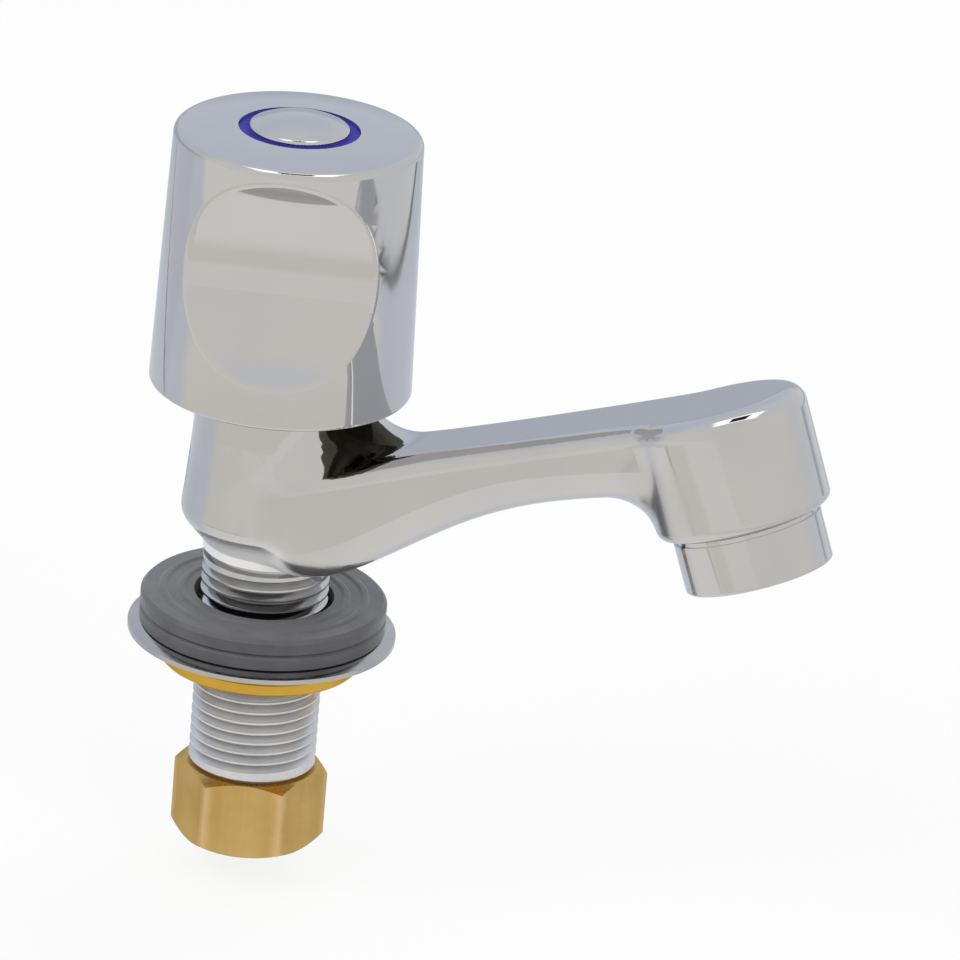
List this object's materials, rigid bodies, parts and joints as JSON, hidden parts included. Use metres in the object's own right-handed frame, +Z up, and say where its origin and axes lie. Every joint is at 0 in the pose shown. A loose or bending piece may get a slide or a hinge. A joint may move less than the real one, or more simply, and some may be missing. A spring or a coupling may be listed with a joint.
{
  "type": "basin tap",
  "caption": "Chromed pillar tap: dished drum handle over a short body, rising spout arm with aerator, threaded tail with rubber and cup washers, back nut and brass inlet fitting.",
  "frame": {"origin": "on the tail axis at the underside of the body, where the tap sits over the basin's hole", "axes": "+Z up along the tail and handle axis, +X the way the spout points, +Y to the spout's left"},
  "size_m": [0.1217, 0.044, 0.1261],
  "materials": {
    "spout_body": "polished chrome plating on cast brass",
    "threaded_tail": "satin nickel and chrome plating on brass",
    "inlet_adapter": "machined brass",
    "inlet_o_ring": "moulded black rubber",
    "upper_rubber_washer": "moulded black rubber",
    "lower_rubber_washer": "moulded black rubber",
    "cup_washer": "zinc-plated pressed steel",
    "back_nut": "machined brass",
    "bonnet": "machined brass",
    "bonnet_seal": "moulded black rubber",
    "spindle": "machined brass",
    "spindle_o_rings": "moulded black rubber",
    "spindle_circlip": "zinc-plated pressed steel",
    "valve_carrier": "machined brass",
    "jumper_washer": "moulded black rubber",
    "jumper_screw": "machined brass",
    "handle_shell": "polished chrome plating on cast brass",
    "handle_bush": "machined brass",
    "handle_screw": "zinc-plated pressed steel",
    "index_ring": "gloss blue plastic",
    "index_button": "polished chrome plating on cast brass",
    "aerator_housing": "polished chrome plating on cast brass",
    "aerator_insert": "moulded plastic",
    "aerator_screen": "zinc-plated pressed steel",
    "aerator_washer": "moulded black rubber"
  },
  "bodies": {
    "tap": {"spout_body": "spout_body", "threaded_tail": "threaded_tail", "bonnet": "bonnet", "bonnet_seal": "bonnet_seal"},
    "handle": {"handle_shell": "handle_shell", "handle_bush": "handle_bush", "handle_screw": "handle_screw", "index_ring": "index_ring", "index_button": "index_button", "spindle": "spindle", "spindle_o_rings": "spindle_o_rings", "spindle_circlip": "spindle_circlip"},
    "valve": {"valve_carrier": "valve_carrier", "jumper_washer": "jumper_washer", "jumper_screw": "jumper_screw"},
    "top_washer": {"upper_rubber_washer": "upper_rubber_washer"},
    "under_washers": {"lower_rubber_washer": "lower_rubber_washer", "cup_washer": "cup_washer"},
    "nut": {"back_nut": "back_nut"},
    "inlet_seal": {"inlet_o_ring": "inlet_o_ring"},
    "inlet": {"inlet_adapter": "inlet_adapter"},
    "aerator_core": {"aerator_insert": "aerator_insert", "aerator_screen": "aerator_screen", "aerator_washer": "aerator_washer"},
    "aerator": {"aerator_housing": "aerator_housing"}
  },
  "joints": [
    {"name": "handle_turn", "type": "hinge", "parent": "tap", "child": "handle", "pos_m": [0, 0, 0.05], "axis": [0, 0, 1], "range_deg": [0, 540]},
    {"name": "valve_lift", "type": "slide", "parent": "tap", "child": "valve", "axis": [0, 0, 1], "range_m": [0, 0.00451]},
    {"name": "top_washer_slide", "type": "slide", "parent": "tap", "child": "top_washer", "axis": [0, 0, 1], "range_m": [0, 0.0075]},
    {"name": "under_washers_slide", "type": "slide", "parent": "tap", "child": "under_washers", "axis": [0, 0, -1], "range_m": [0, 0.01815]},
    {"name": "nut_turn", "type": "hinge", "parent": "under_washers", "child": "nut", "pos_m": [0, 0, -0.0168], "axis": [0, 0, -1], "range_deg": [0, 3600]},
    {"name": "inlet_slide", "type": "slide", "parent": "tap", "child": "inlet_seal", "axis": [0, 0, -1], "range_m": [0, 0.00601]},
    {"name": "inlet_turn", "type": "hinge", "parent": "inlet_seal", "child": "inlet", "pos_m": [0, 0, -0.04], "axis": [0, 0, -1], "range_deg": [0, 1440]},
    {"name": "aerator_slide", "type": "slide", "parent": "tap", "child": "aerator_core", "axis": [0.3811, 0, -0.9245], "range_m": [0, 0.00401]},
    {"name": "aerator_turn", "type": "hinge", "parent": "aerator_core", "child": "aerator", "pos_m": [0.08545, 0, 0.02895], "axis": [0.3811, 0, -0.9245], "range_deg": [0, 1440]}
  ],
  "couplings": [
    {"joint": "valve_lift", "follows": "handle_turn", "m_per_rad": 0.00047746},
    {"joint": "under_washers_slide", "follows": "nut_turn", "m_per_rad": 0.00028871},
    {"joint": "inlet_slide", "follows": "inlet_turn", "m_per_rad": 0.00023873},
    {"joint": "aerator_slide", "follows": "aerator_turn", "m_per_rad": 0.00015915}
  ]
}
